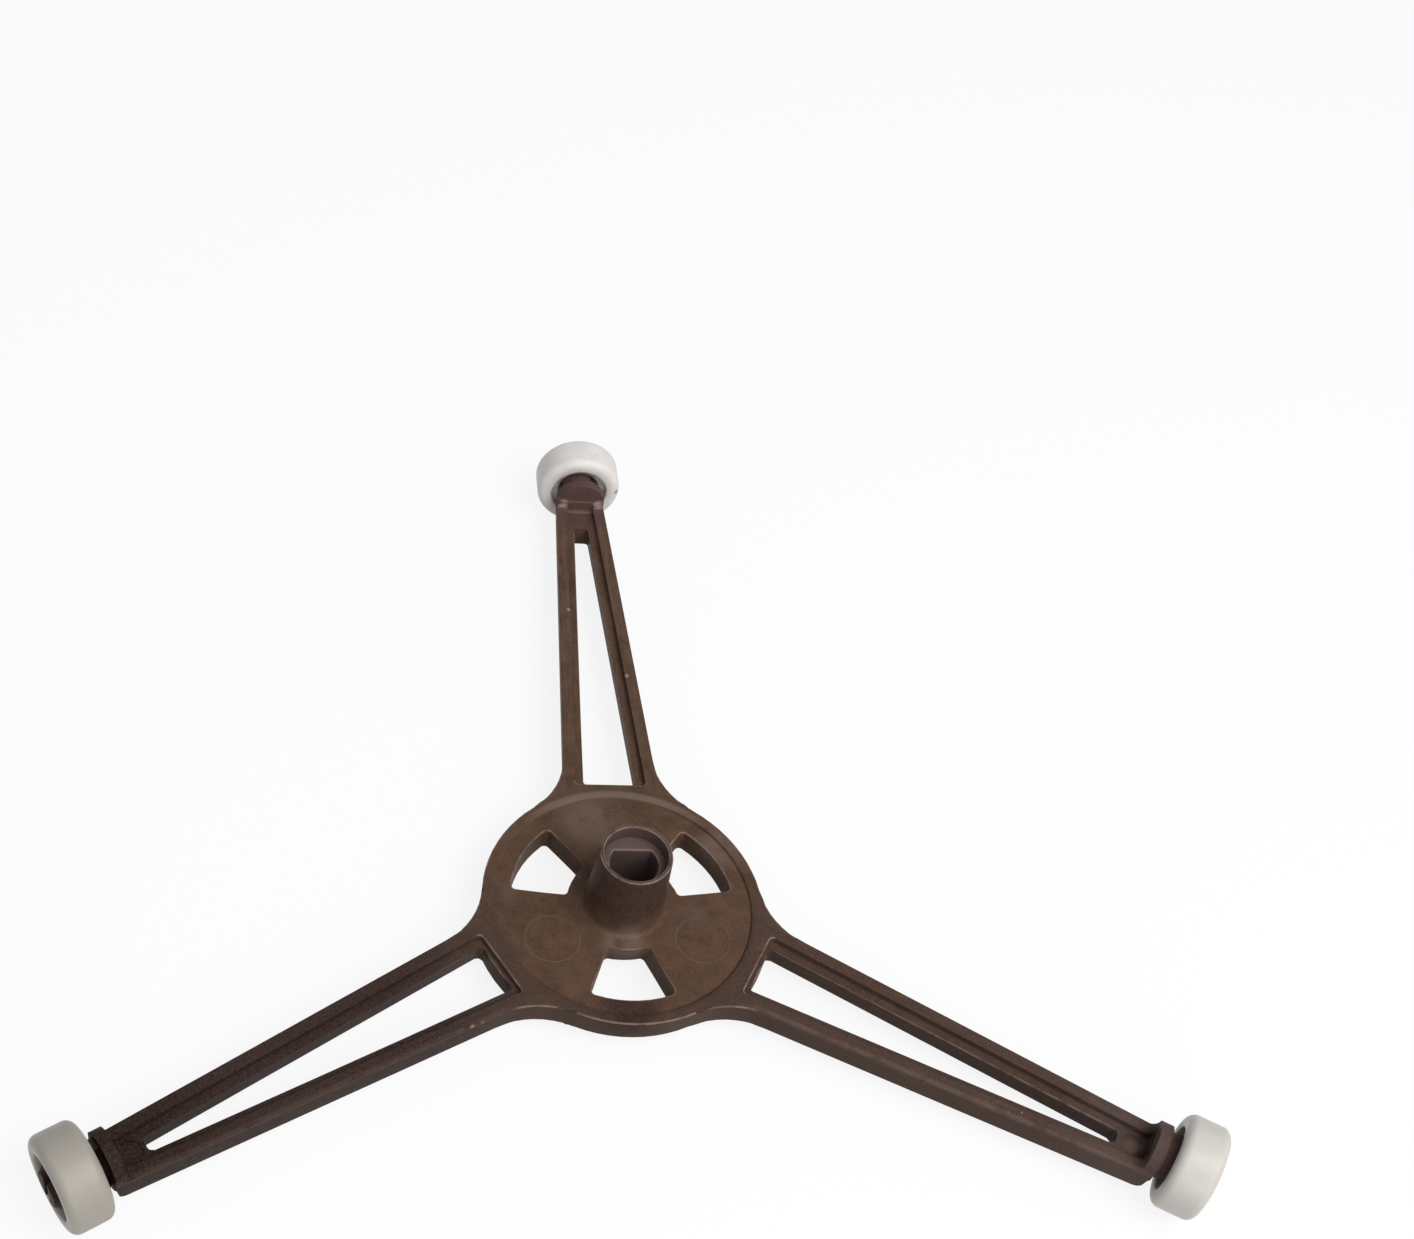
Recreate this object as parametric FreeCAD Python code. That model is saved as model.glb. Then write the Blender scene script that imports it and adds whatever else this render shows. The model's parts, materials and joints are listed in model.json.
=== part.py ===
import FreeCAD, Part
import math
import os

# Three-armed roller support for a microwave turntable, in mm.
# The hub axis is Z and the roller axles lie in the plane z = 0.
# The boss with the drive socket points up and the first arm points along +Y.

# Layout
ARM_COUNT = 3
FIRST_ARM = 90.0            # direction of the first arm, degrees
TRACK_RADIUS = 84.0         # hub axis to the middle of a roller

# Rollers
ROLLER_DIAMETER = 13.5
ROLLER_WIDTH = 5.9
ROLLER_EDGE = 1.25          # round on the tread's two edges
ROLLER_DISH = 9.0           # diameter of the hollow in each side face
DISH_INNER_DEPTH = 1.5
DISH_OUTER_DEPTH = 1.9
DISH_EDGE = 0.3             # chamfer at the mouth of the hollow

# Moulded body
RIM_TOP = -0.3              # top of the raised rim
BODY_HEIGHT = 4.35          # rim top to underside
DRAFT = 0.44                # how far the sides draw in over that height
HUB_RADIUS = 20.1
HUB_FILLET = 12.0           # hollow round between hub and arm
HUB_RECESS_RADIUS = 18.35
HUB_RECESS_DEPTH = 0.35
HUB_LIP_WIDTH = 0.8         # sloped lip round the recess
HUB_LIP_DROP = 0.25

# Hub windows
WINDOW_INNER = 8.0
WINDOW_OUTER = 16.0
WINDOW_HALF_ANGLE = 21.9
WINDOW_CORNER = 0.7
WINDOW_UNDERCUT = 0.8       # the inner side slopes this far under the hub

# Arms
ARM_ROOT_WIDTH = 14.1       # at the hub radius
ARM_END_WIDTH = 7.6         # at the end shoulder
RIB_WIDTH = 3.05            # each side of the slot
RIM_WIDTH = 1.75            # the raised outer part of a rib
RIB_STEP = 0.9              # rim top down to the inner part of a rib
STEP_START = 20.7           # hub axis to where the ribs' lower inner part begins
SLOT_LEDGE = 0.7            # from there to the near end of the slot
SLOT_CORNER = 0.6
END_PLATE = 4.25            # solid plate from the slot to the shoulder
PLATE_ROUND = 0.7           # hollow round from the plate up to the shoulder
END_ROUND = 1.2             # on the lower edge of the arm's end

# End shoulder, axle and snap
SHOULDER_DIAMETER = 8.1
SHOULDER_CORNER = 0.5
SHOULDER_THICKNESS = 1.6
SHOULDER_LEDGE = 0.25       # the shoulder's lower part is this much thicker
LEDGE_HEIGHT = 1.0          # rim top up to that ledge
SHOULDER_GAP = 1.15         # shoulder to the roller's side face
GUSSET_RADIUS = 1.6         # hollow round from the rim up to the shoulder
SPACER_DIAMETER = 6.6
AXLE_DIAMETER = 4.8
AXLE_CLEARANCE = 0.1        # all round, in the roller's bore
END_PLAY = 0.3              # along the axle, each side of the roller's web
BARB_HEIGHT = 0.6           # how far a prong's barb stands out from the axle
BARB_LAND = 0.9
PRONG_REACH = 0.35          # tip of the prongs beyond the roller
PRONG_TIP_DIAMETER = 4.8
PRONG_GAP = 1.1
PRONG_SPLIT = 4.2           # depth of the split between the prongs

# Boss and drive socket
BOSS_TOP = 11.2
BOSS_TOP_DIAMETER = 10.15
BOSS_BASE_DIAMETER = 11.4
BOSS_FILLET = 0.8
MOUTH_DIAMETER = 8.9        # round entry above the D-shaped part
MOUTH_DEPTH = 2.3
SOCKET_DIAMETER = 6.8
SOCKET_FLAT = 2.2           # axis to the flat of the D
SOCKET_FLOOR = 1.2          # thickness left under the socket

# Ejector marks
HUB_MARK_DIAMETER = 7.5
HUB_MARK_RADIUS = 12.3
END_MARK_DIAMETER = 3.2
MARK_DEPTH = 0.15

# Sizes that follow from the ones above
BODY_BOTTOM = RIM_TOP - BODY_HEIGHT
STEP_TOP = RIM_TOP - RIB_STEP
HUB_FLOOR = RIM_TOP - HUB_RECESS_DEPTH
ROLLER_INNER = TRACK_RADIUS - ROLLER_WIDTH / 2
ROLLER_OUTER = TRACK_RADIUS + ROLLER_WIDTH / 2
ARM_END = ROLLER_INNER - SHOULDER_GAP
SHOULDER_INNER = ARM_END - SHOULDER_THICKNESS
LEDGE_FACE = SHOULDER_INNER - SHOULDER_LEDGE
LEDGE_TOP = RIM_TOP + LEDGE_HEIGHT
SLOT_START = STEP_START + SLOT_LEDGE
SLOT_END = SHOULDER_INNER - END_PLATE
WEB_INNER = ROLLER_INNER + DISH_INNER_DEPTH
WEB_OUTER = ROLLER_OUTER - DISH_OUTER_DEPTH
SPACER_END = WEB_INNER - END_PLAY
BARB_START = WEB_OUTER + END_PLAY
PRONG_TIP = ROLLER_OUTER + PRONG_REACH
BORE_DIAMETER = AXLE_DIAMETER + 2 * AXLE_CLEARANCE
TAPER = math.atan((ARM_ROOT_WIDTH - ARM_END_WIDTH) / 2 / (ARM_END - HUB_RADIUS))
STEP_ANGLE = 360.0 / ARM_COUNT

ABOVE = BOSS_TOP - BODY_BOTTOM      # cutters reach this far past the surface they open


def vec(x, y, z=0.0):
    return FreeCAD.Vector(x, y, z)


def turned(x, y, degrees, z):
    """The point (x, y) turned about the hub axis, at height z."""
    a = math.radians(degrees)
    return vec(x * math.cos(a) - y * math.sin(a), x * math.sin(a) + y * math.cos(a), z)


def arm_angles():
    return [FIRST_ARM + STEP_ANGLE * k for k in range(ARM_COUNT)]


def half_width(u):
    """Half the width of an arm at the rim top, at distance u from the hub axis."""
    return ARM_ROOT_WIDTH / 2 - (u - HUB_RADIUS) * math.tan(TAPER)


def on_every_arm(shape):
    """Copies of a shape made along +X, one for each arm."""
    copies = []
    for angle in arm_angles():
        copy = shape.copy()
        copy.rotate(vec(0, 0), vec(0, 0, 1), angle)
        copies.append(copy)
    return copies


def polygon_wire(points):
    return Part.makePolygon(points + [points[0]])


def prism(points, low, high):
    """Upright prism over plan points (x, y) between two heights."""
    face = Part.Face(polygon_wire([vec(x, y, low) for x, y in points]))
    return face.extrude(vec(0, 0, high - low))


def revolved_along_arm(profile):
    """Solid of revolution about +X from (distance along X, radius) points."""
    face = Part.Face(polygon_wire([vec(x, r) for x, r in profile]))
    return face.revolve(vec(0, 0), vec(1, 0, 0), 360)


def fillet_geometry():
    """Centre of the hollow round beside an arm, and the arm side's outward normal."""
    normal = (math.sin(TAPER), math.cos(TAPER))
    offset = normal[0] * HUB_RADIUS + normal[1] * ARM_ROOT_WIDTH / 2
    reach = offset + HUB_FILLET
    along = math.sqrt((HUB_RADIUS + HUB_FILLET) ** 2 - reach ** 2)
    centre = (normal[0] * reach + normal[1] * along, normal[1] * reach - normal[0] * along)
    return centre, normal, offset


def outline(inset, z):
    """Outline of hub and arms, drawn in by inset, at height z."""
    centre, normal, offset = fillet_geometry()
    distance = math.hypot(*centre)
    outward = (centre[0] / distance, centre[1] / distance)
    radius = HUB_FILLET + inset
    on_side = (centre[0] - normal[0] * radius, centre[1] - normal[1] * radius)
    on_hub = (outward[0] * (HUB_RADIUS - inset), outward[1] * (HUB_RADIUS - inset))
    middle = (normal[0] + outward[0], normal[1] + outward[1])
    size = math.hypot(*middle)
    on_round = (centre[0] - middle[0] / size * radius, centre[1] - middle[1] / size * radius)
    end_x = ARM_END - inset
    end_y = (offset - inset - normal[0] * end_x) / normal[1]
    edges = []
    for angle in arm_angles():
        right = [turned(x, -y, angle, z) for x, y in (on_hub, on_round, on_side, (end_x, end_y))]
        left = [turned(x, y, angle, z) for x, y in ((end_x, end_y), on_side, on_round, on_hub)]
        lobe = turned(HUB_RADIUS - inset, 0, angle + STEP_ANGLE / 2, z)
        following = turned(on_hub[0], -on_hub[1], angle + STEP_ANGLE, z)
        edges.append(Part.Arc(right[0], right[1], right[2]).toShape())
        edges.append(Part.makeLine(right[2], right[3]))
        edges.append(Part.makeLine(right[3], left[0]))
        edges.append(Part.makeLine(left[0], left[1]))
        edges.append(Part.Arc(left[1], left[2], left[3]).toShape())
        edges.append(Part.Arc(left[3], lobe, following).toShape())
    return Part.Wire(edges)


def body_blank():
    """Hub and arms in one, with drafted sides and the arm ends rounded underneath."""
    solid = Part.makeLoft([outline(0, RIM_TOP), outline(DRAFT, BODY_BOTTOM)], True, True)
    ends = [turned(ARM_END - DRAFT, 0, angle, BODY_BOTTOM) for angle in arm_angles()]
    lower = [e for e in solid.Edges if min(e.CenterOfMass.distanceToPoint(p) for p in ends) < DRAFT / 2]
    return solid.makeFillet(END_ROUND, lower)


def hub_recess():
    """Cutter for the shallow round recess with its sloped lip."""
    lip = HUB_RECESS_RADIUS + HUB_LIP_WIDTH
    profile = [
        (0, HUB_FLOOR),
        (HUB_RECESS_RADIUS, HUB_FLOOR),
        (HUB_RECESS_RADIUS, RIM_TOP - HUB_LIP_DROP),
        (lip, RIM_TOP),
        (lip, RIM_TOP + ABOVE),
        (0, RIM_TOP + ABOVE),
    ]
    face = Part.Face(polygon_wire([vec(r, 0, z) for r, z in profile]))
    return face.revolve(vec(0, 0), vec(0, 0, 1), 360)


def sector(inner, outer, half_angle, z):
    """Ring sector centred on +X, at height z."""
    a = math.radians(half_angle)
    near = [vec(inner * math.cos(t), inner * math.sin(t), z) for t in (-a, 0, a)]
    far = [vec(outer * math.cos(t), outer * math.sin(t), z) for t in (-a, 0, a)]
    edges = [
        Part.Arc(far[0], far[1], far[2]).toShape(),
        Part.makeLine(far[2], near[2]),
        Part.Arc(near[2], near[1], near[0]).toShape(),
        Part.makeLine(near[0], far[0]),
    ]
    return Part.Wire(edges)


def upright_edges(solid):
    """The edges of a cutter that run down through the plate."""
    return [e for e in solid.Edges if abs(e.tangentAt(e.FirstParameter).z) > 0.8]


def window_cutter():
    """One hub window, centred on +X, with rounded corners."""
    wires = [
        sector(WINDOW_INNER, WINDOW_OUTER, WINDOW_HALF_ANGLE, HUB_FLOOR),
        sector(WINDOW_INNER - WINDOW_UNDERCUT, WINDOW_OUTER, WINDOW_HALF_ANGLE, BODY_BOTTOM),
    ]
    solid = Part.makeLoft(wires, True, True)
    return solid.makeFillet(WINDOW_CORNER, upright_edges(solid))


def windows():
    cutters = on_every_arm(window_cutter())
    for cutter in cutters:
        cutter.rotate(vec(0, 0), vec(0, 0, 1), STEP_ANGLE / 2)
    return cutters


def trapezoid(start, end, inset):
    """Plan points between the two sides of an arm, each drawn in by inset."""
    a = half_width(start) - inset
    b = half_width(end) - inset
    return [(start, -a), (end, -b), (end, b), (start, a)]


def rib_step_cutter():
    """Lowers the inner part of both ribs and the end plate below the rim."""
    solid = prism(trapezoid(STEP_START, SHOULDER_INNER, RIM_WIDTH), STEP_TOP, STEP_TOP + ABOVE)
    near = [e for e in upright_edges(solid) if e.CenterOfMass.x < SLOT_START]
    return solid.makeFillet(SLOT_CORNER, near)


def slot_wire(spread, z):
    """Plan of an arm's slot, its near end round about the hub axis, at height z."""
    wide = half_width(SLOT_START) - RIB_WIDTH + spread
    narrow = half_width(SLOT_END) - RIB_WIDTH + spread
    start = math.sqrt(SLOT_START ** 2 - wide ** 2)
    corners = [vec(start, wide, z), vec(start, -wide, z), vec(SLOT_END, -narrow, z), vec(SLOT_END, narrow, z)]
    edges = [Part.Arc(corners[0], vec(SLOT_START, 0, z), corners[1]).toShape()]
    for k in (1, 2, 3):
        edges.append(Part.makeLine(corners[k], corners[(k + 1) % 4]))
    return Part.Wire(edges)


def slot_cutter():
    """The long tapered slot of an arm, drafted like the outer sides."""
    solid = Part.makeLoft([slot_wire(0, STEP_TOP), slot_wire(DRAFT, BODY_BOTTOM)], True, True)
    corner = min(SLOT_CORNER, 0.8 * (half_width(SLOT_END) - RIB_WIDTH))
    return solid.makeFillet(corner, upright_edges(solid))


def shoulder():
    """Round shoulder at the arm's end, cut to the arm's width with its corners rounded."""
    circle = Part.makeCircle(SHOULDER_DIAMETER / 2, vec(SHOULDER_INNER, 0, 0), vec(1, 0, 0))
    disc = Part.Face(Part.Wire(circle))
    wide = half_width(ARM_END)
    sides = Part.makeBox(SHOULDER_THICKNESS, 2 * wide, 2 * ABOVE, vec(SHOULDER_INNER, -wide, -ABOVE))
    plain = disc.common(sides).Faces[0]
    rounded = plain.makeOffset2D(-SHOULDER_CORNER).makeOffset2D(SHOULDER_CORNER)
    return rounded.extrude(vec(SHOULDER_THICKNESS, 0, 0))


def hollow_round(face_x, foot, radius, top, near, far):
    """Block against the shoulder with a hollow round at its foot, between two distances across the arm."""
    start = face_x - radius
    buried = SHOULDER_INNER + SHOULDER_THICKNESS / 2
    low = foot - RIB_STEP / 2
    bend = radius * math.sin(math.radians(45))
    knee = foot + radius
    curve = Part.Arc(vec(face_x, near, knee), vec(start + bend, near, knee - bend), vec(start, near, foot))
    edges = [curve.toShape()]
    corners = [(start, foot), (start, low), (buried, low), (buried, top), (face_x, top), (face_x, knee)]
    for (x1, z1), (x2, z2) in zip(corners, corners[1:]):
        if (x1, z1) != (x2, z2):
            edges.append(Part.makeLine(vec(x1, near, z1), vec(x2, near, z2)))
    return Part.Face(Part.Wire(edges)).extrude(vec(0, far - near, 0))


def gussets():
    """Hollow rounds that carry the two rims and the end plate up to the shoulder."""
    outer = half_width(ARM_END)
    inner = half_width(SHOULDER_INNER) - RIM_WIDTH
    rim_top = RIM_TOP + GUSSET_RADIUS
    rims = [
        hollow_round(SHOULDER_INNER, RIM_TOP, GUSSET_RADIUS, rim_top, near, near + outer - inner)
        for near in (-outer, inner)
    ]
    return rims + [hollow_round(LEDGE_FACE, STEP_TOP, PLATE_ROUND, LEDGE_TOP, -inner, inner)]


def axle():
    """Spacer, axle and barbed snap end, split into two prongs."""
    shaft = AXLE_DIAMETER / 2
    barb = shaft + BARB_HEIGHT
    root = SHOULDER_INNER + SHOULDER_THICKNESS / 2
    profile = [
        (root, 0),
        (root, SPACER_DIAMETER / 2),
        (SPACER_END, SPACER_DIAMETER / 2),
        (SPACER_END, shaft),
        (BARB_START, shaft),
        (BARB_START + BARB_HEIGHT / 3, barb),
        (BARB_START + BARB_HEIGHT / 3 + BARB_LAND, barb),
        (PRONG_TIP, PRONG_TIP_DIAMETER / 2),
        (PRONG_TIP, 0),
    ]
    solid = revolved_along_arm(profile)
    split = Part.makeBox(
        2 * PRONG_SPLIT, PRONG_GAP, 2 * ABOVE, vec(PRONG_TIP - PRONG_SPLIT, -PRONG_GAP / 2, -ABOVE)
    )
    return solid.cut(split)


def boss():
    """Tapered boss with a thin-walled mouth and a hollow round at its foot."""
    foot = BOSS_BASE_DIAMETER / 2
    top = BOSS_TOP_DIAMETER / 2
    slope = (foot - top) / (BOSS_TOP - HUB_FLOOR)
    flare = foot + BOSS_FILLET
    bend = BOSS_FILLET * (1 - math.cos(math.radians(45)))
    lift = foot - slope * BOSS_FILLET
    sunk = (HUB_FLOOR + BODY_BOTTOM) / 2
    corner = Part.Arc(
        vec(flare, 0, HUB_FLOOR), vec(lift + bend, 0, HUB_FLOOR + bend), vec(lift, 0, HUB_FLOOR + BOSS_FILLET)
    )
    edges = [
        Part.makeLine(vec(0, 0, sunk), vec(flare, 0, sunk)),
        Part.makeLine(vec(flare, 0, sunk), vec(flare, 0, HUB_FLOOR)),
        corner.toShape(),
        Part.makeLine(vec(lift, 0, HUB_FLOOR + BOSS_FILLET), vec(top, 0, BOSS_TOP)),
        Part.makeLine(vec(top, 0, BOSS_TOP), vec(0, 0, BOSS_TOP)),
        Part.makeLine(vec(0, 0, BOSS_TOP), vec(0, 0, sunk)),
    ]
    return Part.Face(Part.Wire(edges)).revolve(vec(0, 0), vec(0, 0, 1), 360)


def socket_cutter():
    """Round mouth, then the D-shaped blind hole with its flat towards +Y."""
    ledge = BOSS_TOP - MOUTH_DEPTH
    floor = BODY_BOTTOM + SOCKET_FLOOR
    mouth = Part.makeCylinder(MOUTH_DIAMETER / 2, ABOVE, vec(0, 0, ledge))
    hole = Part.makeCylinder(SOCKET_DIAMETER / 2, ledge - floor + MOUTH_DEPTH, vec(0, 0, floor))
    beyond = Part.makeBox(2 * ABOVE, ABOVE, 2 * ABOVE, vec(-ABOVE, SOCKET_FLAT, -ABOVE))
    return mouth.fuse(hole.cut(beyond))


def ejector_marks():
    """Shallow round marks on the hub floor and on the end plates."""
    on_hub = vec(HUB_MARK_RADIUS, 0, HUB_FLOOR - MARK_DEPTH)
    on_end = vec((SLOT_END + SHOULDER_INNER) / 2, 0, STEP_TOP - MARK_DEPTH)
    hub_mark = Part.makeCylinder(HUB_MARK_DIAMETER / 2, ABOVE, on_hub)
    end_mark = Part.makeCylinder(END_MARK_DIAMETER / 2, ABOVE, on_end)
    return on_every_arm(hub_mark) + on_every_arm(end_mark)


def spider():
    """The one-piece moulding: hub, boss, arms, shoulders and axles."""
    body = body_blank().cut(hub_recess())
    cutters = on_every_arm(rib_step_cutter()) + on_every_arm(slot_cutter()) + windows()
    body = body.cut(cutters)
    body = body.cut(ejector_marks())
    ends = on_every_arm(shoulder()) + on_every_arm(axle())
    for gusset in gussets():
        ends += on_every_arm(gusset)
    body = body.fuse(ends + [boss()])
    body = body.cut(socket_cutter())
    return body.removeSplitter()


def roller():
    """One roller on +X: rounded tread, a hollow in each side and a bored web."""
    outer = ROLLER_DIAMETER / 2
    dish = ROLLER_DISH / 2
    bore = BORE_DIAMETER / 2
    profile = [
        (WEB_INNER, bore),
        (WEB_INNER, dish),
        (ROLLER_INNER + DISH_EDGE, dish),
        (ROLLER_INNER, dish + DISH_EDGE),
        (ROLLER_INNER, outer),
        (ROLLER_OUTER, outer),
        (ROLLER_OUTER, dish + DISH_EDGE),
        (ROLLER_OUTER - DISH_EDGE, dish),
        (WEB_OUTER, dish),
        (WEB_OUTER, bore),
    ]
    solid = revolved_along_arm(profile)
    tread = [
        e for e in solid.Edges
        if hasattr(e.Curve, "Radius") and abs(e.Curve.Radius - outer) < 1e-6
    ]
    return solid.makeFillet(ROLLER_EDGE, tread)


def main():
    os.makedirs("parts", exist_ok=True)
    spider().exportStep("parts/spider.step")
    for number, shape in enumerate(on_every_arm(roller()), start=1):
        shape.exportStep("parts/roller_%d.step" % number)


main()
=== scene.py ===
import json
import math
from collections import namedtuple

import bmesh
import bpy
from mathutils import Matrix, Vector


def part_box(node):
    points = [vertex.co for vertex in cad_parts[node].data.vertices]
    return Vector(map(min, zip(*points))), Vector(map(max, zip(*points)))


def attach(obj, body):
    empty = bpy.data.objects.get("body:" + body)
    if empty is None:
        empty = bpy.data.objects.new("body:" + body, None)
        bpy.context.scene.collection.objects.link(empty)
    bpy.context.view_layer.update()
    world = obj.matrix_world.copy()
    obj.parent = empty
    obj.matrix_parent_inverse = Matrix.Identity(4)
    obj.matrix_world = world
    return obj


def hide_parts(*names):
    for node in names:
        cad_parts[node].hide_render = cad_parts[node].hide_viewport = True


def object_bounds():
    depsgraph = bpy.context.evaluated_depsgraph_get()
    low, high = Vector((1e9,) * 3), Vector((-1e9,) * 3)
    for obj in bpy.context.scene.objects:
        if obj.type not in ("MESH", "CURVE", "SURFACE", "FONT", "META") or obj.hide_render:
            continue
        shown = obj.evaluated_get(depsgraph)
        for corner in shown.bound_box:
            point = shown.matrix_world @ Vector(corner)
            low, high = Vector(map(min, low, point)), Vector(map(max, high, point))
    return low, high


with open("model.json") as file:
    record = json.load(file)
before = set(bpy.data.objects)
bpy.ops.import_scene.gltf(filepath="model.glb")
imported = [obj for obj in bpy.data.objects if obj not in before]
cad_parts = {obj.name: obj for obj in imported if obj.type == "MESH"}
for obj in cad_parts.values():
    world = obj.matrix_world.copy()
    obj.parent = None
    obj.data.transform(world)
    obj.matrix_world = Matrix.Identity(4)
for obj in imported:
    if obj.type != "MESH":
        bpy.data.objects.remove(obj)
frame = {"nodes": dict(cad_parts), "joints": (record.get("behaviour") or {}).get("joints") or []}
cad_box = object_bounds()

MM = 0.001
UP = Vector((0, 0, 1))

# A noise: size of its features, detail, roughness, and the levels at which its mask starts and is full
Noise = namedtuple("Noise", "size detail roughness start full", defaults=(0, 1))


def at(x, y, z):
    """A place given in millimetres."""
    return Vector((x, y, z)) * MM


# The arms as the photograph shows them, by the roller that each carries
UPPER_ARM = "roller_1"
LEFT_ARM = "roller_2"
RIGHT_ARM = "roller_3"

# The photograph's view
CAMERA_PLACE = at(-49.12, -150.35, 221.73)
CAMERA_AIM = at(-8.52, 13.94, 0.0)
CAMERA_ROLL = math.radians(12.13)
CAMERA_SHIFT = (0.106, 0.141)
CLIP_START = 10 * MM
SENSOR = 36.0               # millimetres, across the image
LENS = 49.2                 # millimetres

# Rounding of the moulding's edges
EDGE_ROUND = 0.28 * MM
EDGE_STEPS = 3
PLAIN_BEYOND = 73.5 * MM    # from the hub axis; the small forms at the arm ends stay crisp
SHARP_ANGLE = math.radians(32)
FLAT_ANGLE = math.radians(0.1)
NO_LENGTH = 0.001 * MM      # what is shorter counts as nothing

# Rollers
ROLLER_STEPS = 128          # round the axle
ROUND_STEPS = 8             # round each edge of the tread
ROLLER_EDGE = 1.25 * MM
DISH_RADIUS = 4.5 * MM
DISH_EDGE = 0.35 * MM
DISH_EDGE_MIDDLE = 0.3 * DISH_EDGE      # how deep that edge's round is halfway
WEB_INNER_DEPTH = 1.5 * MM
WEB_OUTER_DEPTH = 1.9 * MM
BORE_RADIUS = 2.5 * MM
BORE_EDGE = 0.12 * MM

# How dirty each part of a roller is, and how much painted shade darkens each roller, from 0 to 1
GRIME = {"bore": 1.0, "web": 0.9, "wall": 0.5, "edge": 0.3, "side": 0.2, "tread": 0.1}
ROLLER_SHADE = {UPPER_ARM: 0.0, LEFT_ARM: 1.0, RIGHT_ARM: 0.45}

# Colours, as linear values
BROWN_LIGHT = (0.112, 0.062, 0.036, 1)
BROWN_DARK = (0.063, 0.034, 0.023, 1)
BROWN_SOILED = (0.051, 0.032, 0.026, 1)
BROWN_MAUVE = (0.135, 0.098, 0.102, 1)
BROWN_RED = (0.105, 0.058, 0.062, 1)
# dark brown for painted shade
BROWN_SHADE = (0.028, 0.014, 0.013, 1)
# near-black brown, for painted shade and for the ring of the left end plate's mark
BROWN_NEAR_BLACK = (0.011, 0.006, 0.005, 1)
BROWN_PALE = (0.180, 0.125, 0.095, 1)
EDGE_PALE = (0.250, 0.180, 0.145, 1)
SPECK_PALE = (0.340, 0.275, 0.225, 1)
WHITE_WARM = (0.84, 0.79, 0.73, 1)
WHITE_GREY = (0.76, 0.72, 0.67, 1)
# darker white for painted shade on the rollers
WHITE_SHADED = (0.37, 0.34, 0.285, 1)
DIRT = (0.16, 0.13, 0.11, 1)
WHITE = (1, 1, 1, 1)

# Surface of the moulding; each tint below is a colour and its strength
BODY_SPECULAR = 0.03
BODY_ROUGHNESS = (0.40, 0.56)
BODY_BUMP = (0.35, 0.03 * MM)           # strength and depth
MOTTLE = Noise(2.6 * MM, 5, 0.65, 0.3, 0.7)
CLOUD = Noise(22 * MM, 2, 0.55, 0.35, 0.65)
CLOUD_TINT = (BROWN_LIGHT, 0.35)
MAUVE_CLOUD = Noise(7 * MM, 4, 0.55, 0.5, 0.75)
MAUVE_CLOUD_TINT = (BROWN_MAUVE, 0.2)
GRAIN = Noise(0.35 * MM, 3, 0.7, 0.3, 0.75)
GRAIN_TINT = (BROWN_PALE, 0.22)

# Streaks along the arms
STREAK = Noise(0.6 * MM, 3, 0.6, 0.45, 0.7)
STREAK_TINT = (BROWN_PALE, 0.3)
STREAK_SQUEEZE = 0.08                   # of lengths along an arm, which draws the noise out that way
STREAK_START = (19 * MM, 22 * MM)       # from the hub axis

# Stains and painted shade on the arms, each as the distances at which it starts and is full
SOILING = Noise(6 * MM, 4, 0.55, 0.15, 0.5)
SOILED_FRONT = (12 * MM, -12 * MM)      # along Y
SOILED_RIM = (18.0 * MM, 18.8 * MM)     # from the hub axis
SOILED_TINT = (BROWN_SOILED, 0.7)
# Painted shade on the left arm: darker from its root on, darkest at its end and on its upright sides
LEFT_SHADE = (18 * MM, 36 * MM)         # along the left arm
LEFT_SHADE_TINT = (BROWN_SHADE, 0.8)
LEFT_END_SHADE = (58 * MM, 75 * MM)          # along the left arm
LEFT_END_SHADE_TINT = (BROWN_NEAR_BLACK, 0.6)
LEFT_SIDES_SHADE_TINT = (BROWN_NEAR_BLACK, 0.4)
UPRIGHT = (0.7, 0.3)                    # how much a face's normal points up or down
UPPER_RED = (70 * MM, 77 * MM)          # along the upper arm
UPPER_RED_TINT = (BROWN_RED, 0.6)
RIGHT_MAUVE = (62 * MM, 76 * MM)        # along the right arm
RIGHT_MAUVE_TINT = (BROWN_MAUVE, 0.25)

# Painted shade on the boss's walls, darker higher up, and a mauve tint inside its mouth, given in the same
# way
BOSS_MOUTH = (4.3 * MM, 4.6 * MM)       # from the hub axis
BOSS_FOOT = (12 * MM, 9 * MM)           # from the hub axis
BOSS_RISE = (0 * MM, 4 * MM)            # along Z
BOSS_SHADE_TINT = (BROWN_SHADE, 0.6)
MOUTH_TINT = (BROWN_MAUVE, 0.7)

# Lines and rings, each as the distance at which it lies and how far it reaches to either side
SPOT_CORE = 0.3                         # share of a reach that is tinted fully
# painted shade along the right side of the hub's recess step
RECESS_LINE = (18.35 * MM, 0.22 * MM)   # from the hub axis
RECESS_RIGHT = (2 * MM, 10 * MM)        # along X, where the line starts and is full
RECESS_SHADE_TINT = (BROWN_NEAR_BLACK, 0.6)
# painted highlight on the hub's lip towards the back
LIP_HIGHLIGHT = (18.9 * MM, 0.8 * MM)        # from the hub axis
LIP_BACK = (12 * MM, 18 * MM)           # along Y, where the highlight starts and is full
LIP_HIGHLIGHT_TINT = (BROWN_PALE, 0.9)
HUB_FLOOR = -0.65 * MM                  # height inside the hub's rim
HUB_MARK_PLACE = 12.3 * MM              # of the round marks there, from the hub axis
HUB_MARK = (3.75 * MM, 0.22 * MM)       # from the middle of each
HUB_MARK_TINT = (BROWN_PALE, 0.4)
END_PLATE = -1.2 * MM                   # height of the plates at the arm ends
END_MARK_PLACE = 76.2 * MM              # of the round mark on the left one, from the hub axis
END_MARK = (1.6 * MM, 0.25 * MM)        # from the middle of that mark
END_MARK_TINT = (BROWN_NEAR_BLACK, 0.5)
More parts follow.
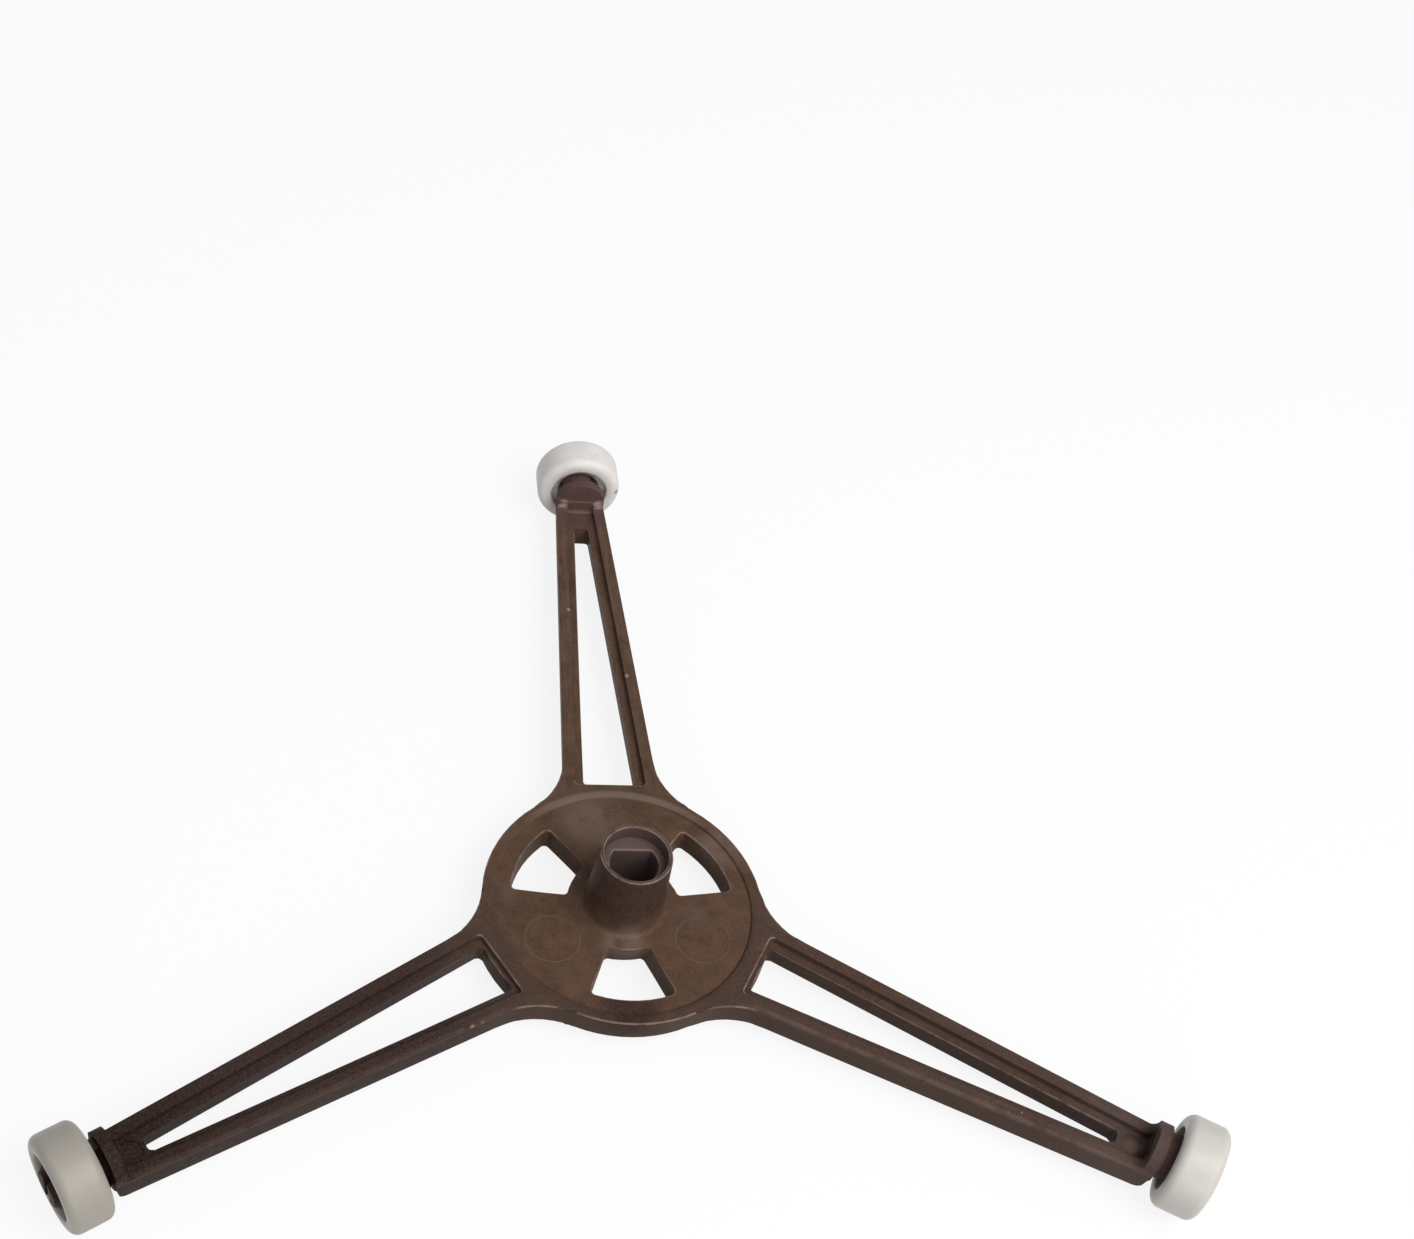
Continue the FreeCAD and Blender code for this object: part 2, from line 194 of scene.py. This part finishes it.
# painted highlights: pale lines across the upper arm's end
HIGHLIT_LINES = ((77.7 * MM, 0.22 * MM), (78.28 * MM, 0.16 * MM))      # along the upper arm
HIGHLIT_LINE_TINT = (BROWN_PALE, 0.7)
ABOVE_PLATE = (-1.6 * MM, -1.4 * MM)    # along Z, where those lines start and are full
BELOW_LEDGE = (0.95 * MM, 0.8 * MM)

# Wear of the edges, and painted highlights along the arms' outer edges
EDGE_RUB = Noise(1.8 * MM, 4, 0.55, 0.25, 0.6)
EDGE_TINT = (EDGE_PALE, 0.9)
ARM_ROOT = (20.1 * MM, 7.05 * MM)       # distance from the hub axis, and half the arm's width there
ARM_TIP = (79.9 * MM, 3.8 * MM)
RIM_TOP = -0.3 * MM                     # height of the arms' outer edges
RIM_HIGHLIGHT = 0.9 * MM                     # how far the painted highlight reaches from an arm's outer edge
RIM_HIGHLIGHT_START = (20 * MM, 27 * MM)     # along the arm
RIM_BREAKUP = Noise(3.5 * MM, 4, 0.55, 0.3, 0.55)
HIGHLIT_RIMS = ((LEFT_ARM, -1, 0.2), (RIGHT_ARM, 1, 0.4))      # arm, side of it, strength

# Soft patches: where, how far each reaches, its colour and strength
PATCHINESS = Noise(3 * MM, 4, 0.55, 0.2, 0.55)
PATCHES = (
    (at(-0.4, -7.2, -0.6), 4.2 * MM, BROWN_PALE, 0.8),      # dust in front of the boss
    (at(-3.6, 14.4, -0.6), 6.5 * MM, BROWN_PALE, 0.6),      # worn floor behind it
    (at(15.4, 9.4, -0.6), 4.5 * MM, BROWN_PALE, 0.6),       # worn rim at its right
    (at(-0.8, -17.6, -0.6), 6.0 * MM, BROWN_SHADE, 0.8),    # painted shade on the rim at the front
    (at(66.0, -38.4, -1.2), 1.6 * MM, BROWN_PALE, 0.6),     # painted light on the right arm's end plate, where the shoulder's shadow falls
    (at(68.7, -37.8, -0.4), 2.3 * MM, BROWN_NEAR_BLACK, 1.0),     # painted shade in the corner beside that plate, this and the next
    (at(67.4, -40.1, -0.4), 2.3 * MM, BROWN_NEAR_BLACK, 1.0),
)

# Specks; scuffs and painted highlights, as where each lies and how far it reaches
SPECK = Noise(0.5 * MM, 2, 0.5, 0.70, 0.76)
SPECK_GROUP = Noise(9 * MM, 2, 0.55, 0.52, 0.68)
SPECK_TINT = (SPECK_PALE, 0.6)
SCUFF_AND_HIGHLIGHT_TINT = (SPECK_PALE, 0.8)
SCUFFS_AND_HIGHLIGHTS = (
    # painted highlights on the upper arm's two gussets
    (at(-2.9, 78.3, 0.4), 1.1 * MM),
    (at(2.9, 78.3, 0.4), 1.1 * MM),
    # scuffs
    (at(-3.6, 55.2, -0.3), 0.5 * MM),
    (at(4.4, 41.8, -0.3), 0.5 * MM),
    (at(-22.3, -20.5, -0.4), 0.5 * MM),
    (at(-20.9, -19.9, -0.4), 0.4 * MM),
)

# Surface of the rollers
ROLLER_ROUGHNESS = (0.34, 0.48)
ROLLER_BUMP = (0.15, 0.02 * MM)         # strength and depth
ROLLER_GLOW = {"Subsurface Weight": 0.15, "Subsurface Radius": (1.0, 0.9, 0.8), "Subsurface Scale": 0.6 * MM}
ROLLER_CLOUD = Noise(5 * MM, 3, 0.55, 0.3, 0.7)
ROLLER_GRAIN = Noise(0.5 * MM, 3, 0.55)
ROLLER_SMEAR = Noise(1.2 * MM, 4, 0.55, 0.35, 0.7)
ROLLER_SMEAR_TINT = (DIRT, 0.5)
ROLLER_SPECK = Noise(0.55 * MM, 2, 0.55, 0.72, 0.78)
ROLLER_SPECK_TINT = (DIRT, 0.4)
ROLLER_NICK = (at(6.25, 81.4, 0.4), 0.6 * MM)
ROLLER_NICK_TINT = (DIRT, 0.8)

# Stage, in metres and watts
FLOOR_SIZE = 3.0
FLOOR_COLOUR = (0.50, 0.50, 0.50, 1)    # for the light that it throws back
FLOOR_SEEN = (0.95, 0.95, 0.95, 1)
FLOOR_ROUGHNESS = 0.9
FLOOR_WHITE_SHARE = 0.86                # of plain white in what the camera sees of the floor
WHITE_LEVEL = 1.0
WORLD_LEVEL = 0.38
WORLD_COLOUR = (0.94, 0.97, 1.06, 1)
LAMPS = {
    "key": {"place": (0.24, -0.22, 0.52), "size": 0.45, "power": 2.75},
    "front": {"place": (0.0, -0.50, 0.20), "size": 0.30, "power": 0.6},
}

# The Mix node's sockets for colours
MIX_FIRST = 6
MIX_SECOND = 7
MIX_RESULT = 2


def add(tree, kind, inputs=None, **properties):
    """A new node of that kind, with its properties set and its inputs set or linked."""
    node = tree.nodes.new(kind)
    for name, value in properties.items():
        setattr(node, name, value)
    for name, value in (inputs or {}).items():
        if isinstance(value, bpy.types.NodeSocket):
            tree.links.new(value, node.inputs[name])
        else:
            node.inputs[name].default_value = value
    return node


def calc(tree, operation, *values):
    """The result of a sum on one or two values."""
    return add(tree, "ShaderNodeMath", dict(enumerate(values)), operation=operation).outputs[0]


def times(tree, first, second):
    return calc(tree, "MULTIPLY", first, second)


def ramp(tree, value, low, high):
    """0 below low, 1 above high, smooth between; the other way round if low is the higher one."""
    inputs = {"Value": value, "From Min": low, "From Max": high}
    return add(tree, "ShaderNodeMapRange", inputs, interpolation_type="SMOOTHSTEP").outputs["Result"]


def scaled(tree, value, low, high):
    """From low to high, as the value goes from 0 to 1."""
    return add(tree, "ShaderNodeMapRange", {"Value": value, "To Min": low, "To Max": high}).outputs["Result"]


def noise(tree, place, pattern):
    """The level of that noise, from 0 to 1."""
    inputs = {
        "Vector": place,
        "Scale": 1 / pattern.size,
        "Detail": pattern.detail,
        "Roughness": pattern.roughness,
    }
    return add(tree, "ShaderNodeTexNoise", inputs).outputs["Fac"]


def mask(tree, place, pattern):
    """0 where that noise is low, 1 where it is high."""
    return ramp(tree, noise(tree, place, pattern), pattern.start, pattern.full)


def mix(tree, amount, first, second):
    """Colour between first and second."""
    inputs = {"Factor": amount, MIX_FIRST: first, MIX_SECOND: second}
    return add(tree, "ShaderNodeMix", inputs, data_type="RGBA").outputs[MIX_RESULT]


def tinted(tree, colour, where, tint, strength):
    """The colour, mixed with a tint where the mask is 1."""
    return mix(tree, times(tree, where, strength), colour, tint)


def attribute(tree, name):
    """A value that the mesh holds for each of its points."""
    return add(tree, "ShaderNodeAttribute", attribute_name=name).outputs["Fac"]


def part_of(tree, vector, axis):
    """One coordinate of the vector."""
    return add(tree, "ShaderNodeSeparateXYZ", {0: vector}).outputs[axis]


def from_axis(tree, place):
    """Distance from the hub axis."""
    flat = add(tree, "ShaderNodeVectorMath", {0: place, 1: (1, 1, 0)}, operation="MULTIPLY").outputs[0]
    return add(tree, "ShaderNodeVectorMath", {0: flat}, operation="LENGTH").outputs["Value"]


def from_point(tree, place, centre):
    """Distance from that point."""
    return add(tree, "ShaderNodeVectorMath", {0: place, 1: centre}, operation="DISTANCE").outputs["Value"]


def towards(tree, place, direction):
    """How far the place lies in that direction."""
    inputs = {0: place, 1: direction}
    return add(tree, "ShaderNodeVectorMath", inputs, operation="DOT_PRODUCT").outputs["Value"]


def arm_axis(arm):
    """Direction of the arm that carries that roller."""
    return next(Vector(joint["axis"]) for joint in frame["joints"] if joint["child"] == arm)


def along_arm(tree, place, arm):
    """Distance from the hub axis along that arm."""
    return towards(tree, place, arm_axis(arm))


def band(tree, value, centre, reach):
    """1 where the value is at the centre, 0 beyond that reach on either side."""
    distance = calc(tree, "ABSOLUTE", calc(tree, "SUBTRACT", value, centre))
    return ramp(tree, distance, reach, SPOT_CORE * reach)


def near(tree, place, centre, reach):
    """1 at the centre, 0 beyond that reach."""
    return ramp(tree, from_point(tree, place, centre), reach, SPOT_CORE * reach)


def ring(tree, place, centre, radius, reach):
    """1 at that radius from the centre, 0 beyond that reach on either side."""
    return band(tree, from_point(tree, place, centre), radius, reach)


def streaks(tree, place):
    """Fine streaks that run along the arms, as noise in arm coordinates; 0 inside the hub's rim."""
    reaches = [along_arm(tree, place, arm) for arm in (UPPER_ARM, LEFT_ARM, RIGHT_ARM)]
    along = calc(tree, "MAXIMUM", calc(tree, "MAXIMUM", reaches[0], reaches[1]), reaches[2])
    away = from_axis(tree, place)
    across = calc(tree, "SQRT", calc(tree, "SUBTRACT", times(tree, away, away), times(tree, along, along)))
    inputs = {"X": times(tree, along, STREAK_SQUEEZE), "Y": across, "Z": part_of(tree, place, "Z")}
    squeezed = add(tree, "ShaderNodeCombineXYZ", inputs).outputs[0]
    return times(tree, mask(tree, squeezed, STREAK), ramp(tree, away, *STREAK_START))


def mottled(tree, place):
    """The plastic's own brown, in fine mottling and broad clouds, with streaks along the arms."""
    colour = mix(tree, mask(tree, place, MOTTLE), BROWN_DARK, BROWN_LIGHT)
    colour = tinted(tree, colour, mask(tree, place, CLOUD), *CLOUD_TINT)
    colour = tinted(tree, colour, mask(tree, place, MAUVE_CLOUD), *MAUVE_CLOUD_TINT)
    return tinted(tree, colour, streaks(tree, place), *STREAK_TINT)


def soiled(tree, place):
    """1 on the rims and arms towards the front, where the surface is dark; 0 on the hub's floor."""
    front = ramp(tree, part_of(tree, place, "Y"), *SOILED_FRONT)
    outer = ramp(tree, from_axis(tree, place), *SOILED_RIM)
    return times(tree, times(tree, front, outer), mask(tree, place, SOILING))


def upright(tree):
    """1 on upright faces, 0 on level ones."""
    normal = add(tree, "ShaderNodeNewGeometry").outputs["Normal"]
    return ramp(tree, calc(tree, "ABSOLUTE", part_of(tree, normal, "Z")), *UPRIGHT)


def arms_stained_and_shaded(tree, place, colour):
    """The colour, soiled towards the front, with painted shade on the left arm, red or mauve at the other
    arms' ends.
    """
    upper, left, right = (along_arm(tree, place, arm) for arm in (UPPER_ARM, LEFT_ARM, RIGHT_ARM))
    on_left = ramp(tree, left, *LEFT_SHADE)
    end_mark = arm_axis(LEFT_ARM) * END_MARK_PLACE + UP * END_PLATE
    colour = tinted(tree, colour, soiled(tree, place), *SOILED_TINT)
    # painted shade on the left arm, darkest at its end and on its upright sides
    colour = tinted(tree, colour, on_left, *LEFT_SHADE_TINT)
    colour = tinted(tree, colour, ramp(tree, left, *LEFT_END_SHADE), *LEFT_END_SHADE_TINT)
    colour = tinted(tree, colour, times(tree, on_left, upright(tree)), *LEFT_SIDES_SHADE_TINT)
    colour = tinted(tree, colour, ring(tree, place, end_mark, *END_MARK), *END_MARK_TINT)
    colour = tinted(tree, colour, ramp(tree, upper, *UPPER_RED), *UPPER_RED_TINT)
    return tinted(tree, colour, ramp(tree, right, *RIGHT_MAUVE), *RIGHT_MAUVE_TINT)


def patched(tree, place, colour):
    """The colour with soft, uneven patches of dust, worn spots, painted light and painted shade."""
    uneven = mask(tree, place, PATCHINESS)
    for centre, reach, tint, strength in PATCHES:
        patch = times(tree, near(tree, place, centre, reach), uneven)
        colour = tinted(tree, colour, patch, tint, strength)
    return colour


def boss_outside(tree, place):
    """1 on the outside of the boss, fading into the hub."""
    away = from_axis(tree, place)
    wall = times(tree, ramp(tree, away, *BOSS_MOUTH), ramp(tree, away, *BOSS_FOOT))
    return times(tree, wall, ramp(tree, part_of(tree, place, "Z"), *BOSS_RISE))


def hub_shaded_and_tinted(tree, place, colour):
    """The colour with painted shade along the recess's right side and on the boss's walls, mauve inside the
    boss.
    """
    away = from_axis(tree, place)
    right = ramp(tree, part_of(tree, place, "X"), *RECESS_RIGHT)
    recess = times(tree, band(tree, away, *RECESS_LINE), right)
    # painted shade along the recess step's right side
    colour = tinted(tree, colour, recess, *RECESS_SHADE_TINT)
    # painted shade on the boss's walls
    colour = tinted(tree, colour, boss_outside(tree, place), *BOSS_SHADE_TINT)
    return tinted(tree, colour, ramp(tree, away, *reversed(BOSS_MOUTH)), *MOUTH_TINT)


def rim_highlight(tree, place, arm, side):
    """1 along the top outer edge on one side of the arm, 0 beyond the painted highlight's reach."""
    along = along_arm(tree, place, arm)
    across = towards(tree, place, arm_axis(arm).cross(UP * side))
    (start, root), (end, tip) = ARM_ROOT, ARM_TIP
    inputs = {"Value": along, "From Min": start, "From Max": end, "To Min": root, "To Max": tip}
    half_width = add(tree, "ShaderNodeMapRange", inputs).outputs["Result"]
    inputs = {"X": calc(tree, "SUBTRACT", across, half_width), "Z": part_of(tree, place, "Z")}
    section = add(tree, "ShaderNodeCombineXYZ", inputs).outputs[0]
    line = near(tree, section, UP * RIM_TOP, RIM_HIGHLIGHT)
    return times(tree, line, ramp(tree, along, *RIM_HIGHLIGHT_START))


def edges_worn_and_highlit(tree, place, colour):
    """The colour with a painted highlight on the hub's lip at the back, pale where rounded edges are worn,
    and painted highlights on two outer edges of arms.
    """
    # painted highlight on the hub's lip at the back
    back = ramp(tree, part_of(tree, place, "Y"), *LIP_BACK)
    lip = times(tree, band(tree, from_axis(tree, place), *LIP_HIGHLIGHT), back)
    off_left = ramp(tree, along_arm(tree, place, LEFT_ARM), *reversed(LEFT_SHADE))
    edge = times(tree, times(tree, attribute(tree, "edge"), mask(tree, place, EDGE_RUB)), off_left)
    colour = tinted(tree, colour, lip, *LIP_HIGHLIGHT_TINT)
    colour = tinted(tree, colour, edge, *EDGE_TINT)
    rim_breakup = mask(tree, place, RIM_BREAKUP)
    # painted highlights along two outer edges of arms
    for arm, side, strength in HIGHLIT_RIMS:
        rim = times(tree, rim_highlight(tree, place, arm, side), rim_breakup)
        colour = tinted(tree, colour, rim, BROWN_PALE, strength)
    return colour


def specked(tree, place, colour):
    """The colour with pale specks in groups."""
    specks = times(tree, mask(tree, place, SPECK), mask(tree, place, SPECK_GROUP))
    return tinted(tree, colour, specks, *SPECK_TINT)


def hub_marked(tree, place, colour):
    """The colour with a pale ring on the hub's floor towards each arm."""
    for arm in (UPPER_ARM, LEFT_ARM, RIGHT_ARM):
        centre = arm_axis(arm) * HUB_MARK_PLACE + UP * HUB_FLOOR
        colour = tinted(tree, colour, ring(tree, place, centre, *HUB_MARK), *HUB_MARK_TINT)
    return colour


def upper_end_highlit(tree, place, colour):
    """The colour with painted highlights as pale lines across the upper arm's end."""
    height = part_of(tree, place, "Z")
    between = times(tree, ramp(tree, height, *ABOVE_PLATE), ramp(tree, height, *BELOW_LEDGE))
    along = along_arm(tree, place, UPPER_ARM)
    for line in HIGHLIT_LINES:
        colour = tinted(tree, colour, times(tree, band(tree, along, *line), between), *HIGHLIT_LINE_TINT)
    return colour


def scuffed_and_highlit(tree, place, colour):
    """The colour with small pale scuffs, and painted highlights on the upper arm's gussets."""
    for pale_spot in SCUFFS_AND_HIGHLIGHTS:
        colour = tinted(tree, colour, near(tree, place, *pale_spot), *SCUFF_AND_HIGHLIGHT_TINT)
    return colour


def new_material(name):
    """A new material, its node tree, its shader, and the place on the object that is being shaded."""
    material = bpy.data.materials.new(name)
    material.use_nodes = True
    tree = material.node_tree
    place = add(tree, "ShaderNodeTexCoord").outputs["Object"]
    return material, tree, tree.nodes["Principled BSDF"], place


def set_bump(tree, shader, height, strength, depth):
    inputs = {"Height": height, "Strength": strength, "Distance": depth}
    tree.links.new(add(tree, "ShaderNodeBump", inputs).outputs["Normal"], shader.inputs["Normal"])


def body_material():
    """Brown moulded plastic: mottled, stained and finely grained, worn pale in places, with painted shade
    and painted highlights.
    """
    material, tree, shader, place = new_material("brown_plastic")
    grain = noise(tree, place, GRAIN)
    colour = mottled(tree, place)
    stains_and_shade = (arms_stained_and_shaded, patched, hub_shaded_and_tinted)
    wear_and_highlights = (edges_worn_and_highlit, specked, hub_marked, upper_end_highlit, scuffed_and_highlit)
    for layer in stains_and_shade + wear_and_highlights:
        colour = layer(tree, place, colour)
    colour = tinted(tree, colour, ramp(tree, grain, GRAIN.start, GRAIN.full), *GRAIN_TINT)
    tree.links.new(colour, shader.inputs["Base Color"])
    roughness = scaled(tree, noise(tree, place, MOTTLE), *BODY_ROUGHNESS)
    tree.links.new(roughness, shader.inputs["Roughness"])
    shader.inputs["Specular IOR Level"].default_value = BODY_SPECULAR
    set_bump(tree, shader, grain, *BODY_BUMP)
    return material


def roller_material():
    """Warm white satin plastic with a grey cast, faint smear marks, dirt in its hollows, and painted shade
    on two of the rollers.
    """
    material, tree, shader, place = new_material("white_plastic")
    cloud = mask(tree, place, ROLLER_CLOUD)
    smear = times(tree, attribute(tree, "grime"), mask(tree, place, ROLLER_SMEAR))
    colour = mix(tree, cloud, WHITE_GREY, WHITE_WARM)
    # painted shade, full on the left roller and partial on the right one
    colour = mix(tree, attribute(tree, "painted_shade"), colour, WHITE_SHADED)
    colour = tinted(tree, colour, smear, *ROLLER_SMEAR_TINT)
    colour = tinted(tree, colour, mask(tree, place, ROLLER_SPECK), *ROLLER_SPECK_TINT)
    colour = tinted(tree, colour, near(tree, place, *ROLLER_NICK), *ROLLER_NICK_TINT)
    tree.links.new(colour, shader.inputs["Base Color"])
    tree.links.new(scaled(tree, cloud, *ROLLER_ROUGHNESS), shader.inputs["Roughness"])
    for name, value in ROLLER_GLOW.items():
        shader.inputs[name].default_value = value
    set_bump(tree, shader, noise(tree, place, ROLLER_GRAIN), *ROLLER_BUMP)
    return material


def new_object(name, data):
    item = bpy.data.objects.new(name, data)
    bpy.context.scene.collection.objects.link(item)
    return item


def set_attribute(mesh, name, values):
    """Gives each point of the mesh a value that the material reads."""
    mesh.attributes.new(name, "FLOAT", "POINT").data.foreach_set("value", values)


def joined_mesh(node):
    """The node's mesh as one closed surface, with its flat triangles joined into whole faces."""
    surface = bmesh.new()
    surface.from_mesh(frame["nodes"][node].data)
    bmesh.ops.remove_doubles(surface, verts=surface.verts, dist=NO_LENGTH)
    bmesh.ops.dissolve_limit(surface, angle_limit=FLAT_ANGLE, verts=surface.verts, edges=surface.edges)
    surface.normal_update()
    return surface


def face_width(loop):
    """How wide a flat face is, measured across it from the middle of one of its edges."""
    start, end = loop.vert.co, loop.link_loop_next.vert.co
    along = (end - start).normalized()
    across = loop.face.normal.cross(along)
    middle = (start + end) / 2
    width = math.inf
    for other in loop.face.loops:
        first, second = other.vert.co - middle, other.link_loop_next.vert.co - middle
        before, after = first.dot(along), second.dot(along)
        if before * after > 0 or before == after or other.edge.calc_face_angle(0) < FLAT_ANGLE:
            continue
        reach = first.lerp(second, before / (before - after)).dot(across)
        if reach > NO_LENGTH:
            width = min(width, reach)
    return width


def mark_roundings(surface):
    """Marks each sharp outward edge with room for its rounding, apart from those at the arm ends."""
    layer = surface.edges.layers.float.new("bevel_weight_edge")
    for edge in surface.edges:
        if len(edge.link_faces) != 2 or edge.calc_face_angle_signed(0) < SHARP_ANGLE:
            continue
        if max(vert.co.xy.length for vert in edge.verts) > PLAIN_BEYOND:
            continue
        if min(face_width(loop) for loop in edge.link_loops) > 2 * EDGE_ROUND:
            edge[layer] = 1.0


def rounded_mesh(name, surface):
    """The surface with its marked edges rounded, and an attribute that is 1 along them."""
    sharp = bpy.data.meshes.new(name + "_sharp")
    surface.to_mesh(sharp)
    surface.free()
    slots = ("plain", "edge")
    for slot in slots:
        sharp.materials.append(bpy.data.materials.new(name + "_" + slot))
    body = new_object(name + "_sharp", sharp)
    bevel = body.modifiers.new("round", "BEVEL")
    bevel.limit_method = "WEIGHT"
    bevel.width = EDGE_ROUND
    bevel.segments = EDGE_STEPS
    bevel.use_clamp_overlap = False
    bevel.loop_slide = False
    bevel.material = slots.index("edge")
    mesh = bpy.data.meshes.new_from_object(body.evaluated_get(bpy.context.evaluated_depsgraph_get()))
    bpy.data.objects.remove(body)
    set_edge_attribute(mesh, slots.index("plain"))
    return mesh


def set_edge_attribute(mesh, plain_slot):
    """Sets the attribute edge to 1 on points that lie only in rounded faces, and clears the slots."""
    plain = {point for face in mesh.polygons if face.material_index == plain_slot for point in face.vertices}
    set_attribute(mesh, "edge", [0.0 if index in plain else 1.0 for index in range(len(mesh.vertices))])
    mesh.polygons.foreach_set("material_index", [0] * len(mesh.polygons))
    mesh.materials.clear()


def shade(mesh):
    """Smooth shading that breaks at sharp edges."""
    for face in mesh.polygons:
        face.use_smooth = True
    mesh.set_sharp_from_angle(angle=SHARP_ANGLE)


def make_spider(material):
    surface = joined_mesh("spider")
    mark_roundings(surface)
    mesh = rounded_mesh("moulding", surface)
    shade(mesh)
    mesh.materials.append(material)
    piece = new_object("moulding", mesh)
    piece.modifiers.new("shading", "WEIGHTED_NORMAL").keep_sharp = True
    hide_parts("spider")
    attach(piece, "spider")


def roller_side(radius, web_depth):
    """Half of a roller's section, from its bore to its tread, as (depth below its side, radius, grime)."""
    section = [
        (web_depth + BORE_EDGE, BORE_RADIUS, GRIME["bore"]),
        (web_depth, BORE_RADIUS + BORE_EDGE, GRIME["bore"]),
        (web_depth, DISH_RADIUS, GRIME["web"]),
        (DISH_EDGE, DISH_RADIUS, GRIME["wall"]),
        (DISH_EDGE_MIDDLE, DISH_RADIUS + DISH_EDGE_MIDDLE, GRIME["edge"]),
        (0, DISH_RADIUS + DISH_EDGE, GRIME["side"]),
    ]
    for k in reversed(range(ROUND_STEPS + 1)):
        angle = math.radians(90) * k / ROUND_STEPS
        depth = ROLLER_EDGE * (1 - math.sin(angle))
        reach = radius - ROLLER_EDGE * (1 - math.cos(angle))
        section.append((depth, reach, GRIME["tread"]))
    return section


def roller_profile(radius, width):
    """Closed section of a roller as (place along the axle, radius, grime), starting at the bore."""
    half = width / 2
    inner = [(depth - half, reach, grime) for depth, reach, grime in roller_side(radius, WEB_INNER_DEPTH)]
    outer = [(half - depth, reach, grime) for depth, reach, grime in roller_side(radius, WEB_OUTER_DEPTH)]
    return inner + outer[::-1]


def roller_mesh(name, centre, axis, radius, width):
    """A roller turned from its section about its axle."""
    profile = roller_profile(radius, width)
    count = len(profile)
    side = axis.cross(UP)
    verts, faces = [], []
    for k in range(ROLLER_STEPS):
        angle = 2 * math.pi * k / ROLLER_STEPS
        outward = math.cos(angle) * UP + math.sin(angle) * side
        verts += [centre + axis * along + outward * reach for along, reach, _ in profile]
        this, following = k * count, (k + 1) % ROLLER_STEPS * count
        for i in range(count):
            j = (i + 1) % count
            faces.append((this + i, this + j, following + j, following + i))
    mesh = bpy.data.meshes.new(name)
    mesh.from_pydata(verts, [], faces)
    set_attribute(mesh, "grime", [grime for _, _, grime in profile] * ROLLER_STEPS)
    shade(mesh)
    return mesh


def make_rollers(material):
    low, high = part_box("roller_1")
    radius, width = (high.z - low.z) / 2, high.y - low.y
    for joint in frame["joints"]:
        node = joint["child"]
        axis = Vector(joint["axis"]).normalized()
        mesh = roller_mesh(node + "_wheel", Vector(joint["pos_m"]), axis, radius, width)
        mesh.materials.append(material)
        # painted shade for this roller
        set_attribute(mesh, "painted_shade", [ROLLER_SHADE[node]] * len(mesh.vertices))
        piece = new_object(node + "_wheel", mesh)
        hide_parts(node)
        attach(piece, node)


def make_camera():
    """The camera at the photograph's place, with its slight roll."""
    data = bpy.data.cameras.new("camera")
    data.sensor_width = SENSOR
    data.lens = LENS
    data.shift_x, data.shift_y = CAMERA_SHIFT
    data.clip_start = CLIP_START
    back = (CAMERA_PLACE - CAMERA_AIM).normalized()
    right = UP.cross(back).normalized()
    up = back.cross(right)
    cos, sin = math.cos(CAMERA_ROLL), math.sin(CAMERA_ROLL)
    columns = (cos * right + sin * up, cos * up - sin * right, back)
    camera = new_object("camera", data)
    camera.matrix_world = Matrix.Translation(CAMERA_PLACE) @ Matrix(columns).transposed().to_4x4()
    bpy.context.scene.camera = camera


def seen_directly(tree):
    """1 for rays from the camera and for mirrored or refracted ones."""
    path = add(tree, "ShaderNodeLightPath").outputs
    either = calc(tree, "MAXIMUM", path["Is Camera Ray"], path["Is Glossy Ray"])
    return calc(tree, "MAXIMUM", either, path["Is Transmission Ray"])


def floor_material():
    """Mostly plain white where it is seen, with a soft shadow; grey for the light that it throws back."""
    material, tree, shader, _ = new_material("floor_white")
    seen = seen_directly(tree)
    tree.links.new(mix(tree, seen, FLOOR_COLOUR, FLOOR_SEEN), shader.inputs["Base Color"])
    shader.inputs["Roughness"].default_value = FLOOR_ROUGHNESS
    shader.inputs["Specular IOR Level"].default_value = 0.0
    white = add(tree, "ShaderNodeEmission", {"Color": WHITE, "Strength": WHITE_LEVEL}).outputs[0]
    share = times(tree, seen, FLOOR_WHITE_SHARE)
    both = add(tree, "ShaderNodeMixShader", {0: share, 1: shader.outputs[0], 2: white}).outputs[0]
    tree.links.new(both, tree.nodes["Material Output"].inputs["Surface"])
    return material


def make_floor():
    """A square floor under the rollers."""
    half, height = FLOOR_SIZE / 2, cad_box[0].z
    mesh = bpy.data.meshes.new("floor")
    corners = [(x * half, y * half, height) for x, y in ((-1, -1), (1, -1), (1, 1), (-1, 1))]
    mesh.from_pydata(corners, [], [(0, 1, 2, 3)])
    mesh.materials.append(floor_material())
    new_object("floor", mesh)


def make_world():
    """Even light from all sides; plain white where it is seen."""
    world = bpy.data.worlds.new("studio")
    world.use_nodes = True
    tree = world.node_tree
    background = tree.nodes["Background"]
    seen = seen_directly(tree)
    tree.links.new(mix(tree, seen, WORLD_COLOUR, WHITE), background.inputs["Color"])
    tree.links.new(scaled(tree, seen, WORLD_LEVEL, WHITE_LEVEL), background.inputs["Strength"])
    bpy.context.scene.world = world


def make_lamps():
    """Soft square lamps that point at the hub."""
    for name, lamp in LAMPS.items():
        data = bpy.data.lights.new(name, "AREA")
        data.size = lamp["size"]
        data.energy = lamp["power"]
        item = new_object(name, data)
        item.location = lamp["place"]
        item.visible_camera = False
        item.rotation_mode = "QUATERNION"
        item.rotation_quaternion = (-item.location).to_track_quat("-Z", "Y")


make_spider(body_material())
make_rollers(roller_material())
make_camera()
make_floor()
make_world()
make_lamps()
bpy.context.scene.view_settings.view_transform = "Standard"
